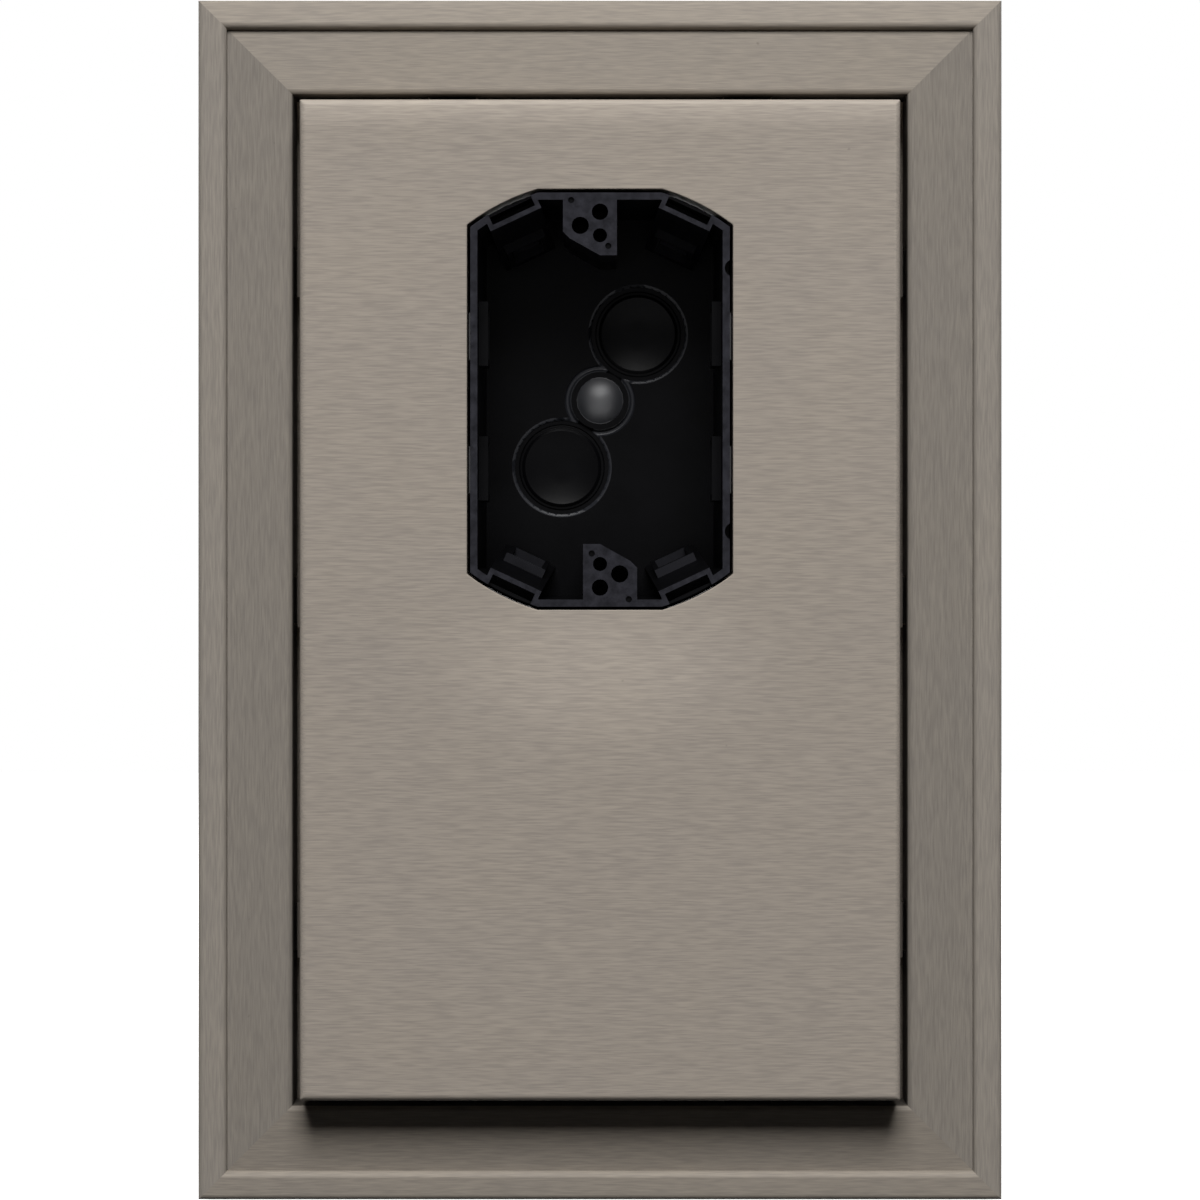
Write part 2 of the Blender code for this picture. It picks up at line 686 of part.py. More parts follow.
def build_box(parts, cutters, material):
    bm = bmesh.new()
    loft(bm, drafted_section(0, 0), drafted_section(BOX_DEPTH, 0), RIM_Y, BOX_BACK_Y)
    box = add_object("electrical_box", bm, parts)
    apply_steps(box, ((box_flange, "UNION"),), cutters)
    boolean(box, build_cavity(cutters), "DIFFERENCE")
    edge_cuts = (pockets, clamp_windows, latch_windows, screw_holes, pry_notches)
    back_cuts = (knockout_grooves, knockout_holes)
    apply_steps(box, [(shape, "DIFFERENCE") for shape in edge_cuts + back_cuts], cutters)
    box.data.materials.append(material)


def build_knockouts(parts, material):
    """Break-out discs, turned from a profile that runs from the middle of the face over the edge."""
    face, groove = BOX_BACK, BOX_BACK - KNOCKOUT_GROOVE_DEPTH
    profile = [
        (0, face - KNOCKOUT_DISH),
        (KNOCKOUT_FACE / 2, face - KNOCKOUT_DISH * (1 - 0.5 ** 2)),
        (KNOCKOUT_FACE, face),
        (KNOCKOUT_FACE, groove),
        (KNOCKOUT_RADIUS, groove),
        (KNOCKOUT_RADIUS, 0),
        (0, 0),
    ]
    for name, turn in KNOCKOUT_NAMES.items():
        mesh = bpy.data.meshes.new(f"knockout_{name}")
        edges = [(i, i + 1) for i in range(len(profile) - 1)]
        mesh.from_pydata([(radius, 0, height) for radius, height in profile], edges, [])
        disc = bpy.data.objects.new(f"knockout_{name}", mesh)
        x, z = knockout_place(turn)
        disc.matrix_world = Matrix.Translation((x, BOX_BACK_Y, z)) @ Matrix.Rotation(math.pi / 2, 4, "X")
        parts.objects.link(disc)
        screw = disc.modifiers.new("turned", "SCREW")
        screw.steps = DISC_SIDES
        screw.render_steps = DISC_SIDES
        screw.use_merge_vertices = True
        screw.merge_threshold = MERGE
        screw.use_smooth_shade = False
        disc.data.materials.append(material)


def build_latches(parts, material):
    half = LATCH_THICKNESS / 2
    for name, (x, z) in LATCH_NAMES.items():
        frame = latch_frame(x, z)
        catch = BOX_WIDTH / 2 + BOX_CLEARANCE + LATCH_BITE - abs(frame.translation.x)
        outline = [
            (LATCH_GAP / 2, -half),
            (LATCH_LENGTH, -half),
            (LATCH_LENGTH, catch),
            (LATCH_LENGTH - LATCH_BARB_FLAT, catch),
            (LATCH_LENGTH - LATCH_BARB_LENGTH, half),
            (LATCH_GAP / 2, half),
        ]
        bm = bmesh.new()
        prism(bm, outline, LATCH_WIDTH / 2)
        latch = add_object(f"box_latch_{name}", bm, parts, frame)
        latch.data.materials.append(material)


def build_clamps(parts, material):
    half = POCKET_WALL / 2
    outline = [
        (-CLAMP_GAP / 2, -half),
        (-CLAMP_GAP / 2, half),
        (-CLAMP_LENGTH + 2 * CLAMP_LIP, half),
        (-CLAMP_LENGTH, half + CLAMP_LIP),
        (-CLAMP_LENGTH, -half),
    ]
    for name, (x, z) in CORNER_NAMES.items():
        bm = bmesh.new()
        prism(bm, outline, CLAMP_WIDTH / 2)
        clamp = add_object(f"cable_clamp_{name}", bm, parts, clamp_frame(x, z))
        clamp.data.materials.append(material)


def main():
    clear_scene()
    parts = add_collection("siding_mounting_block")
    cutters = add_collection("cutters")
    clay = plastic("clay_moulding", (0.305, 0.271, 0.227), 0.55)
    trim = plastic("clay_trim", (0.285, 0.253, 0.213), 0.5)
    black = plastic("black_moulding", (0.008, 0.008, 0.010), 0.32)
    build_base(parts, cutters, clay)
    ring = build_ring(parts, cutters, trim)
    build_pawls(parts, ring, trim)
    build_box(parts, cutters, black)
    build_knockouts(parts, black)
    build_latches(parts, black)
    build_clamps(parts, black)


main()
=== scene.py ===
"""Looks of a siding mounting block: clay mouldings with a brushed grain and a black electrical box."""

import math

import bpy
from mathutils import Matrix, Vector


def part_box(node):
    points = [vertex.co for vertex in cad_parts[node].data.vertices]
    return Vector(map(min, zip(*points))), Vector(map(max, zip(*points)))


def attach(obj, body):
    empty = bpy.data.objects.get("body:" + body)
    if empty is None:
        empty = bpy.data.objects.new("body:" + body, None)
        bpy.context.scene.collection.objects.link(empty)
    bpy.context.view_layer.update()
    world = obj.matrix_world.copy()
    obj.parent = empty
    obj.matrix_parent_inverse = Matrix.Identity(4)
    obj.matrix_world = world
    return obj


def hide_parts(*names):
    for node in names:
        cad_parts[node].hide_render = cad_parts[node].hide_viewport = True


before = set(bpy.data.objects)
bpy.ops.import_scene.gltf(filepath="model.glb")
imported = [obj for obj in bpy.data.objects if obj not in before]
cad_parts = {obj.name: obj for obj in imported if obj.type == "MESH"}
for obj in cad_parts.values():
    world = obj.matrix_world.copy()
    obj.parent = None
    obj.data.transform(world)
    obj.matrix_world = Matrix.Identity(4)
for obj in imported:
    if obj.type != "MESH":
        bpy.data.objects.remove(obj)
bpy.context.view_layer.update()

bl_info = {
    "name": "Siding Mounting Block",
    "version": (1, 0, 0),
    "blender": (4, 5, 0),
    "location": "View3D > Sidebar > Block",
    "description": "Dresses a siding mounting block with its trim ring and electrical box",
    "category": "Object",
}

MM = 0.001
WHITE = 1.0
RING_LOW, RING_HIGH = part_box("trim_ring")
BASE_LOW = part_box("mounting_base")[0]
BOX_LOW, BOX_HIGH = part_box("electrical_box")
BOX_MIDDLE = (BOX_LOW[2] + BOX_HIGH[2]) / 2
SIDES = {"left": 3, "right": 3, "top": 2, "bottom": 2}
PAWLS = [f"{side}_{i + 1}" for side, count in SIDES.items() for i in range(count)]
LATCHES = ["right_upper", "left_upper", "left_lower", "right_lower"]
CLAMPS = ["top_right", "top_left", "bottom_left", "bottom_right"]
KNOCKOUTS = ["upper", "lower"]
DISCS = [[Vector(corner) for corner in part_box(f"knockout_{name}")] for name in KNOCKOUTS]
DOME = sum((low + high for low, high in DISCS), Vector()) / 4
BACK_WALL = DISCS[0][0].y
CLAMP_BOXES = [[Vector(corner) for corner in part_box(f"cable_clamp_{name}")] for name in CLAMPS]
PIN_PLACES = [(-7.3 * MM, 50.6 * MM), (2.1 * MM, 39.0 * MM)]

# Shares of a size: thickness of the ring's wall at its crest, start of the skirt's painted shade on the
# frame's rounded edge, height of the collar at which the dome starts, reach of the round forms past a slope,
# and depth of a groove
CREST_WALL = 1.2
SKIRT_SHADE_START = 1 / 6
DOME_START = 0.95
SLOPE_REACH = 1.2
GROOVE_DEPTH = 1.1

# Radii of the rings that dish a knockout's face, as shares of the face's own
DISH_RINGS = (0.97, 0.9, 0.75, 0.5, 0.25)

# Distances too small to see, for joining corners and for telling whether a point lies on the back wall
CORNER_MERGE = 0.001 * MM
HAIR = 0.01 * MM

# Angles in degrees: between faces that count as one, at edges that are rounded and at edges shaded sharp
FLAT_ANGLE = 0.5
ROUNDED_ANGLE = 40
BROAD_ANGLE = 35
FINE_ANGLE = 23.5

# Lines of grain: length over width of the coarse and the fine ones, and how close together the fine ones lie
COARSE_STRETCH, FINE_STRETCH = 13, 20
FINE_SPACING = 0.55

# Sizes of noise, as the number of spots in a metre
SPECKS, CLOUDS, DUST = 2400.0, 30.0, 260.0
FLOW, GRIT, SCUFFS = 60.0, 3200.0, 420.0

# Ranges of noise over which a finish changes
NOISE_RANGE = (0.3, 0.7)
FLOW_RANGE = (0.3, 0.75)

# Ranges and shades of the layers that are multiplied into the clay's colour
CLOUD_SHADES = ((0.975, 0.975, 0.98), (1.0, 0.995, 0.985))
GRAIN_RANGE, GRAIN_SHADES = (0.36, 0.64), ((0.79, 0.79, 0.8), (1.0, 1.0, 0.99))
DUST_RANGE, DUST_SHADES = (0.81, 0.84), ((1, 1, 1), (0.72, 0.72, 0.72))

# Surface of the clay and of the black moulding: roughness, specular level, and strength and depth of the bump
CLAY_GLOSS = (0.36, 0.46)
CLAY_SHINE = 0.03
CLAY_BUMP = (0.22, 0.1 * MM)
SPECK_SHARE = 0.3
BLACK_BUMP = (0.15, 0.06 * MM)

# Darkest and palest shade of the black moulding and of its front, as shares of their colours
FLOW_SHADES = (0.7, 1.5)
SCUFF_SHADES = (0.6, 1.6)

# Studio floor: how much light it throws back at the block, and its roughness
FLOOR_BOUNCE = 0.02
FLOOR_ROUGHNESS = 0.9

# Black finishes: colour inside the box, colour of its front, lowest and highest roughness, and specular level
BLACK_FINISHES = {
    "black_box_moulding": ("black", "rim", 0.34, 0.44, 0.03),
    "black_knockout_face": ("black", "rim", 0.28, 0.36, 0.03),
    # Groove walls: greyer black as painted sheen
    "black_groove_wall": ("groove", "rim", 0.3, 0.4, 0.11),
    "black_latch_tongue": ("black", "black", 0.34, 0.44, 0.03),
    # Dome: greyer black as painted sheen, and glossier
    "black_polished_dome": ("dome", "rim", 0.4, 0.48, 0.55),
    # Clamps: greyer black as painted sheen
    "black_clamp_face": ("clamp", "rim", 0.4, 0.5, 0.05),
}


# Settings that a user would change

def length(name, description, default_mm):
    return bpy.props.FloatProperty(
        name=name, description=description, default=default_mm * MM, unit="LENGTH", precision=5)


def colour(name, description, default):
    return bpy.props.FloatVectorProperty(
        name=name, description=description, default=default, subtype="COLOR", size=3, min=0, max=1)


def number(name, description, default):
    return bpy.props.FloatProperty(name=name, description=description, default=default, min=0)


class RingSettings(bpy.types.PropertyGroup):
    band_width: length("Band width", "Width of the raised outer band", 7.4)
    band_height: length("Band height", "Height of the band over the siding", 7.6)
    band_radius: length("Band radius", "Rounding of the band's two edges", 1.7)
    band_fall: length("Band fall", "How much the band falls towards its outer edge", 0.7)
    band_step: length("Band step", "Drop from the band to the frame", 2.4)
    frame_edge: length("Frame edge", "Rounding of the frame's inner edge", 1.7)
    face_width: length("Face width", "Width of the band and the frame together", 24.5)
    wall: length("Wall", "Thickness of the moulding", 1.9)
    skirt_wall: length("Skirt wall", "Thickness of the skirt round the block", 1.8)
    skirt_depth: length("Skirt depth", "How far the skirt runs behind the face", 9.0)
    notch_gap: length("Notch gap", "Gap round each snap pawl", 0.4)


class MouldingSettings(bpy.types.PropertyGroup):
    panel_width: length("Panel width", "Width of the raised panel", 152.4)
    panel_height: length("Panel height", "Height of the raised panel", 254.0)
    flange_thickness: length("Flange thickness", "Thickness of the nailing flange", 2.2)
    ratchet_front: length("Ratchet front", "How far out from the wall the ratchets end", 26.5)
    pin_radius: length("Pin radius", "Radius of the ejector pin marks on the bosses", 0.8)
    pin_depth: length("Pin depth", "Depth of the ejector pin marks", 0.9)
    clay_edge: length("Clay edge", "Rounding of the edges of the clay mouldings", 0.35)
    black_edge: length("Black edge", "Rounding of the edges of the box", 0.22)
    merge: length("Merge", "Distance at which loose corners are joined", 0.002)
    groove_margin: length("Groove margin", "How far the groove round each knockout runs past its disc", 1.3)
    dome_radius: length("Dome radius", "Radius within which the dome lies", 6.5)
    dome_flattening: number("Dome flattening", "Height of the dome as a share of the CAD dome's", 0.62)
    dome_groove: length("Dome groove", "Radius of the groove's section round the dome", 0.9)
    dome_groove_radius: length("Dome groove radius", "Distance of the groove from the dome's axis", 8.6)
    collar: length("Collar", "Height of the collar round the dome", 0.82)
    disc_groove: length("Disc groove", "Width of the step round each knockout", 1.4)
    disc_step: length("Disc step", "Height of the step round each knockout", 0.8)
    disc_dish: length("Disc dish", "Depth of the dish in each knockout", 1.2)
    slope_width: length("Slope width", "Width of the sloping ring round each knockout", 0.8)
    slope_depth: length("Slope depth", "Depth of the sloping ring at its inner edge", 0.5)
    lip_width: length("Lip width", "Width of the sloping edge of each knockout's face", 0.7)
    lip_depth: length("Lip depth", "Depth of that sloping edge", 0.3)
    clamp_margin: length("Clamp margin", "How far the clamps' finish runs on round them", 2.5)
    web_reach: length("Web reach", "How far the web that holds each knockout runs out", 0.35)
    web_depth: length("Web depth", "How deep the web lies in the back of the box", 0.4)
    web_thickness: length("Web thickness", "Thickness of the web", 0.5)


class FinishSettings(bpy.types.PropertyGroup):
    panel: colour("Panel", "Clay of the base", (0.302, 0.267, 0.230))
    trim_level: colour("Level trim", "Clay of the ring's level members", (0.295, 0.261, 0.222))
    # Painted shade: the upright members get a darker copy of the clay, in place of their grain catching less
    # light from above
    trim_upright_painted_shade: colour("Upright trim", "Clay of the ring's upright members", (0.254, 0.229, 0.200))
    # Painted light: a paler patch on the panel below the opening, in place of the light that the panel
    # catches there
    painted_glow: number("Bloom", "How pale the panel is below the opening", 1.2)
    painted_glow_rise: length("Bloom rise", "Height of the pale patch on the panel", -17.0)
    painted_glow_width: length("Bloom width", "Half the width of the pale patch", 62.0)
    painted_glow_height: length("Bloom height", "Half the height of the pale patch", 30.0)
    # Painted highlight: a paler strip along the top of the panel, in place of the light that its rounded top
    # catches
    painted_top_highlight: number("Crown", "How pale the top of the panel is", 1.34)
    painted_top_highlight_height: length("Crown height", "Height of the pale strip at the top of the panel", 9.0)
    # Painted shade: the frame is coloured darker than the band, in place of the shade that falls on it
    painted_frame_shade: number("Frame shade", "How deep the frame is next to the band", 0.83)
    # Painted shade: the skirt inside the gap round the panel is darkened, in place of the shade in that gap
    painted_skirt_shade: number("Skirt shade", "How deep the skirt is next to the frame", 0.3)
    # Painted shade: the saw teeth in the gap beside the panel are darkened, in place of the shade in that gap
    painted_ratchet_shade: number("Ratchet shade", "How deep the saw teeth are next to the panel", 0.6)
    black: colour("Black", "Moulding of the box", (0.0012, 0.0012, 0.0015))
    # Painted sheen: the dome gets a greyer black than the box, in place of the light that its top catches
    dome: colour("Dome", "Polished moulding of the dome", (0.015, 0.0155, 0.018))
    # Painted sheen: the groove walls get a greyer black than the box, in place of the light that they catch
    groove: colour("Groove", "Sloping walls round the dome and the knockouts", (0.011, 0.0115, 0.014))
    # Painted sheen: the clamps get a greyer black than the box, in place of the highlights on their edges
    clamp: colour("Clamp", "Paler moulding of the clamps", (0.010, 0.010, 0.012))
    rim: colour("Rim", "Matt front of the box", (0.0155, 0.0155, 0.019))
    rim_depth: length("Rim depth", "How far the matt front of the box runs back", 0.45)
    floor: colour("Floor", "Studio floor", (0.8, 0.8, 0.8))
    grain: length("Grain", "Distance between grain lines", 0.5)


class StageSettings(bpy.types.PropertyGroup):
    distance: length("Camera distance", "From the band of the ring to the camera", 1200.0)
    view_width: length("View width", "Width of the view at the band of the ring", 307.8)
    floor_size: length("Floor size", "Side of the studio floor", 6000.0)
    lamp_distance: length("Lamp distance", "From the block to each softbox", 2400.0)
    box_width: length("Softbox width", "Width of each softbox", 1100.0)
    box_height: length("Softbox height", "Height of each softbox", 1020.0)
    key_power: number("Key power", "Power of the key softbox, in watts", 82.0)
    rear_power: number("Rear power", "Power of each softbox behind the block, in watts", 34.0)
    key_rise: number("Key rise", "Height of the key softbox, in degrees", 39.0)
    rear_side: number("Rear side", "Turn of each softbox behind the block, in degrees", 135.0)
    rear_rise: number("Rear rise", "Height of each softbox behind the block, in degrees", 25.0)
    ambient: number("Ambient", "Light from all round", 0.004)
    floor_drop: length("Floor drop", "From the foot of the ring down to the floor", 2.0)
    pool_near: length("Pool near", "Reach of the dimmer floor round the block", 250.0)
    pool_far: length("Pool far", "Distance at which the floor is white", 1200.0)
    pool_level: number("Pool level", "Brightness of the floor under the block", 0.62)


SETTINGS = {
    "block_ring": RingSettings,
    "block_moulding": MouldingSettings,
    "block_finish": FinishSettings,
    "block_stage": StageSettings,
}


# Modelling helpers

def activate(obj):
    """Makes obj the only selected object."""
    bpy.ops.object.select_all(action="DESELECT")
    obj.select_set(True)
    bpy.context.view_layer.objects.active = obj


def apply_place(obj):
    activate(obj)
    bpy.ops.object.transform_apply(location=True, rotation=True, scale=True)


def apply_modifier(obj, name, kind, **values):
    activate(obj)
    modifier = obj.modifiers.new(name, kind)
    for key, value in values.items():
        setattr(modifier, key, value)
    bpy.ops.object.modifier_apply(modifier=modifier.name)


def smooth(obj, angle=BROAD_ANGLE):
    activate(obj)
    bpy.ops.object.shade_smooth_by_angle(angle=math.radians(angle), keep_sharp_edges=True)


def round_edges(obj, width, spared=None):
    """Rounds the edges that turn sharply, apart from those with their middle in a spared place."""
    activate(obj)
    bpy.ops.object.mode_set(mode="EDIT")
    bpy.ops.mesh.select_mode(type="EDGE")
    bpy.ops.mesh.select_all(action="DESELECT")
    bpy.ops.mesh.edges_select_sharp(sharpness=math.radians(ROUNDED_ANGLE))
    bpy.ops.object.mode_set(mode="OBJECT")
    mesh = obj.data
    weights = mesh.attributes.new("bevel_weight_edge", "FLOAT", "EDGE")
    for edge, weight in zip(mesh.edges, weights.data):
        middle = sum((mesh.vertices[i].co for i in edge.vertices), Vector()) / 2
        weight.value = edge.select and not (spared and spared(middle))
    apply_modifier(obj, "round", "BEVEL", width=width, segments=2, limit_method="WEIGHT",
                   miter_outer="MITER_SHARP", use_clamp_overlap=True)


def weigh_normals(obj):
    """Keeps broad flat faces flat where they run into rounded edges."""
    apply_modifier(obj, "weigh", "WEIGHTED_NORMAL", mode="FACE_AREA", weight=100, keep_sharp=True)


def dress(obj, node, body, material):
    """Hands a finished piece over to the body that it moves with."""
    obj.data.materials.clear()
    obj.data.materials.append(material)
    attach(obj, body)
    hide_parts(node)


def traced(node, name):
    """A copy of a node's mesh with its loose triangles joined into clean faces."""
    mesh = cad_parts[node].data.copy()
    mesh.name = name
    obj = bpy.data.objects.new(name, mesh)
    bpy.context.scene.collection.objects.link(obj)
    activate(obj)
    bpy.ops.object.mode_set(mode="EDIT")
    bpy.ops.mesh.select_all(action="SELECT")
    bpy.ops.mesh.remove_doubles(threshold=bpy.context.scene.block_moulding.merge)
    bpy.ops.mesh.dissolve_limited(angle_limit=math.radians(FLAT_ANGLE))
    bpy.ops.object.mode_set(mode="OBJECT")
    return obj


def arc(centre, radius, start, end, steps=8):
    """Points of an arc from start to end, in degrees."""
    turns = [math.radians(start + (end - start) * i / steps) for i in range(steps + 1)]
    return [(centre[0] + radius * math.cos(turn), centre[1] + radius * math.sin(turn)) for turn in turns]


def mitred_loop(name, half_width, half_height, profile):
    """A rectangle of edges drawn round a closed profile of (inset, out) points, mitred at its corners."""
    first_inset, first_out = profile[0]
    width, height = half_width - first_inset, half_height - first_inset
    bpy.ops.object.select_all(action="DESELECT")
    bpy.ops.mesh.primitive_plane_add(size=2, location=(0, -first_out, 0), rotation=(math.pi / 2, 0, 0))
    obj = bpy.context.object
    obj.name = name
    obj.scale = (width, height, 1)
    apply_place(obj)
    bpy.ops.object.mode_set(mode="EDIT")
    bpy.ops.mesh.select_all(action="SELECT")
    bpy.ops.mesh.delete(type="ONLY_FACE")
    bpy.ops.mesh.select_all(action="SELECT")
    out = first_out
    for inset, next_out in profile[1:] + profile[:1]:
        bpy.ops.mesh.extrude_edges_move(TRANSFORM_OT_translate={"value": (0, out - next_out, 0)})
        new_width, new_height = half_width - inset, half_height - inset
        bpy.ops.transform.resize(value=(new_width / width, 1, new_height / height), center_override=(0, 0, 0))
        width, height, out = new_width, new_height, next_out
    bpy.ops.mesh.select_all(action="SELECT")
    bpy.ops.mesh.remove_doubles(threshold=CORNER_MERGE)
    bpy.ops.mesh.normals_make_consistent(inside=False)
    bpy.ops.object.mode_set(mode="OBJECT")
    return obj


def sharpen_mitres(obj):
    """Marks the edges that run across the corners."""
    mesh = obj.data
    for edge in mesh.edges:
        one, two = (mesh.vertices[i].co for i in edge.vertices)
        edge.use_edge_sharp = one.x * two.x > 0 and one.z * two.z > 0


def cut_away(obj, cutter):
    """Cuts the shape of cutter out of obj."""
    apply_place(cutter)
    apply_modifier(obj, "cut", "BOOLEAN", operation="DIFFERENCE", solver="EXACT", object=cutter)
    bpy.data.objects.remove(cutter, do_unlink=True)


def cut_boxes(obj, boxes):
    """Cuts cuboids, given by their corners, out of obj."""
    for low, high in boxes:
        bpy.ops.object.select_all(action="DESELECT")
        bpy.ops.mesh.primitive_cube_add(size=1, location=(Vector(low) + Vector(high)) / 2)
        cutter = bpy.context.object
        cutter.scale = Vector(high) - Vector(low)
        cut_away(obj, cutter)


# Finishes

def node_maker(material):
    """Functions that add and link nodes of one material."""
    nodes, links = material.node_tree.nodes, material.node_tree.links

    def add(kind, **values):
        node = nodes.new(f"ShaderNode{kind}")
        for key, value in values.items():
            if hasattr(node, key):
                setattr(node, key, value)
            else:
                node.inputs[key.replace("_", " ")].default_value = value
        return node

    def join(source, target):
        links.new(source, target)

    return add, join


def new_material(name):
    material = bpy.data.materials.new(name)
    material.use_nodes = True
    return material, material.node_tree.nodes["Principled BSDF"]


def ramp(add, join, source, low, high, low_colour, high_colour):
    """Turns a value into a colour between the two given."""
    shades = add("ValToRGB")
    for element, place, tint in zip(shades.color_ramp.elements, (low, high), (low_colour, high_colour)):
        element.position = place
        element.color = (*tint, 1)
    join(source, shades.inputs["Fac"])
    return shades.outputs["Color"]


def mixed(add, join, factor, one, two, blend="MIX"):
    """Mixes two colours by a factor, which is a socket or a number."""
    mix = add("Mix", data_type="RGBA", blend_type=blend)
    for socket, value in zip((mix.inputs[0], mix.inputs[6], mix.inputs[7]), (factor, one, two)):
        if isinstance(value, bpy.types.NodeSocket):
            join(value, socket)
        else:
            socket.default_value = value
    return mix.outputs[2]


def sum_of(add, join, values):
    """Adds up values, each with its own share."""
    total = None
    for socket, share in values:
        part = add("Math", operation="MULTIPLY_ADD")
        part.inputs[1].default_value = share
        part.inputs[2].default_value = 0.0
        join(socket, part.inputs[0])
        if total:
            join(total, part.inputs[2])
        total = part.outputs[0]
    return total


def scaled(tint, share):
    return [value * share for value in tint]


def surface(add, join, shader, gloss_source, gloss, height, bump, shine):
    """Sets the roughness, the bump and the specular level of a finish."""
    low, high = NOISE_RANGE
    spread = add("MapRange", From_Min=low, From_Max=high, To_Min=gloss[0], To_Max=gloss[1])
    join(gloss_source, spread.inputs["Value"])
    join(spread.outputs["Result"], shader.inputs["Roughness"])
    relief = add("Bump", Strength=bump[0], Distance=bump[1])
    join(height, relief.inputs["Height"])
    join(relief.outputs["Normal"], shader.inputs["Normal"])
    shader.inputs["Specular IOR Level"].default_value = shine


def noise(add, join, coordinates, scale, detail=3.0, roughness=0.55):
    texture = add("TexNoise", Scale=scale, Detail=detail, Roughness=roughness)
    join(coordinates, texture.inputs["Vector"])
    return texture.outputs["Fac"]


def streaks(add, join, coordinates, spacing, stretch, upright):
    """Fine lines of grain: noise drawn out along one member of the ring or across the panel."""
    across, along = 1 / spacing, 1 / (spacing * stretch)
    mapping = add("Mapping")
    mapping.inputs["Scale"].default_value = (across, across, along) if upright else (along, across, across)
    join(coordinates, mapping.inputs["Vector"])
    return noise(add, join, mapping.outputs["Vector"], 1.0, 1.0)


def brushed(add, join, coordinates, spacing, upright):
    """Two sizes of grain lines together."""
    coarse = streaks(add, join, coordinates, spacing, COARSE_STRETCH, upright)
    fine = streaks(add, join, coordinates, spacing * FINE_SPACING, FINE_STRETCH, upright)
    return sum_of(add, join, ((coarse, 0.5), (fine, 0.5)))


def ring_masks(add, join, coordinates):
    """Masks of the ring: its upright members, split along the mitres, which take the upright grain and the
    darker clay of painted shade, then its frame and its skirt, which take painted shade.
    """
    split = add("SeparateXYZ")
    join(coordinates, split.inputs["Vector"])
    reach = []
    for axis, half in (("X", RING_HIGH[0]), ("Z", RING_HIGH[2])):
        size = add("Math", operation="ABSOLUTE")
        join(split.outputs[axis], size.inputs[0])
        past = add("Math", operation="SUBTRACT")
        past.inputs[1].default_value = half
        join(size.outputs[0], past.inputs[0])
        reach.append(past.outputs[0])
    upright, nearest = (add("Math", operation=kind) for kind in ("GREATER_THAN", "MAXIMUM"))
    for step in (upright, nearest):
        join(reach[0], step.inputs[0])
        join(reach[1], step.inputs[1])
    masks = [upright.outputs[0]]
    ring = bpy.context.scene.block_ring
    # Insets of the frame and of the skirt, whose masks carry their painted shade
    for inset in (ring.band_width, ring.face_width - ring.frame_edge * SKIRT_SHADE_START):
        inside = add("Math", operation="LESS_THAN")
        inside.inputs[1].default_value = -inset
        join(nearest.outputs[0], inside.inputs[0])
        masks.append(inside.outputs[0])
    return masks


def painted_glow(add, join, coordinates):
    """Painted light: a soft paler patch of the panel below the opening."""
    finish = bpy.context.scene.block_finish
    mapping = add("Mapping", vector_type="TEXTURE")
    mapping.inputs["Location"].default_value = (0, BASE_LOW[1], finish.painted_glow_rise)
    mapping.inputs["Scale"].default_value = (finish.painted_glow_width, finish.painted_glow_width, finish.painted_glow_height)
    join(coordinates, mapping.inputs["Vector"])
    reach = add("VectorMath", operation="LENGTH")
    join(mapping.outputs["Vector"], reach.inputs[0])
    spread = add("MapRange", interpolation_type="SMOOTHERSTEP", To_Min=finish.painted_glow, To_Max=1.0)
    join(reach.outputs["Value"], spread.inputs["Value"])
    return spread.outputs["Result"]


def painted_top_highlight(add, join, coordinates):
    """Painted highlight: a paler strip along the top of the panel, next to its rounded edge."""
    finish = bpy.context.scene.block_finish
    split = add("SeparateXYZ")
    join(coordinates, split.inputs["Vector"])
    top = bpy.context.scene.block_moulding.panel_height / 2
    rise = add("MapRange", interpolation_type="SMOOTHSTEP", To_Min=1.0, To_Max=finish.painted_top_highlight,
               From_Min=top - finish.painted_top_highlight_height, From_Max=top)
    join(split.outputs["Z"], rise.inputs["Value"])
    return rise.outputs["Result"]


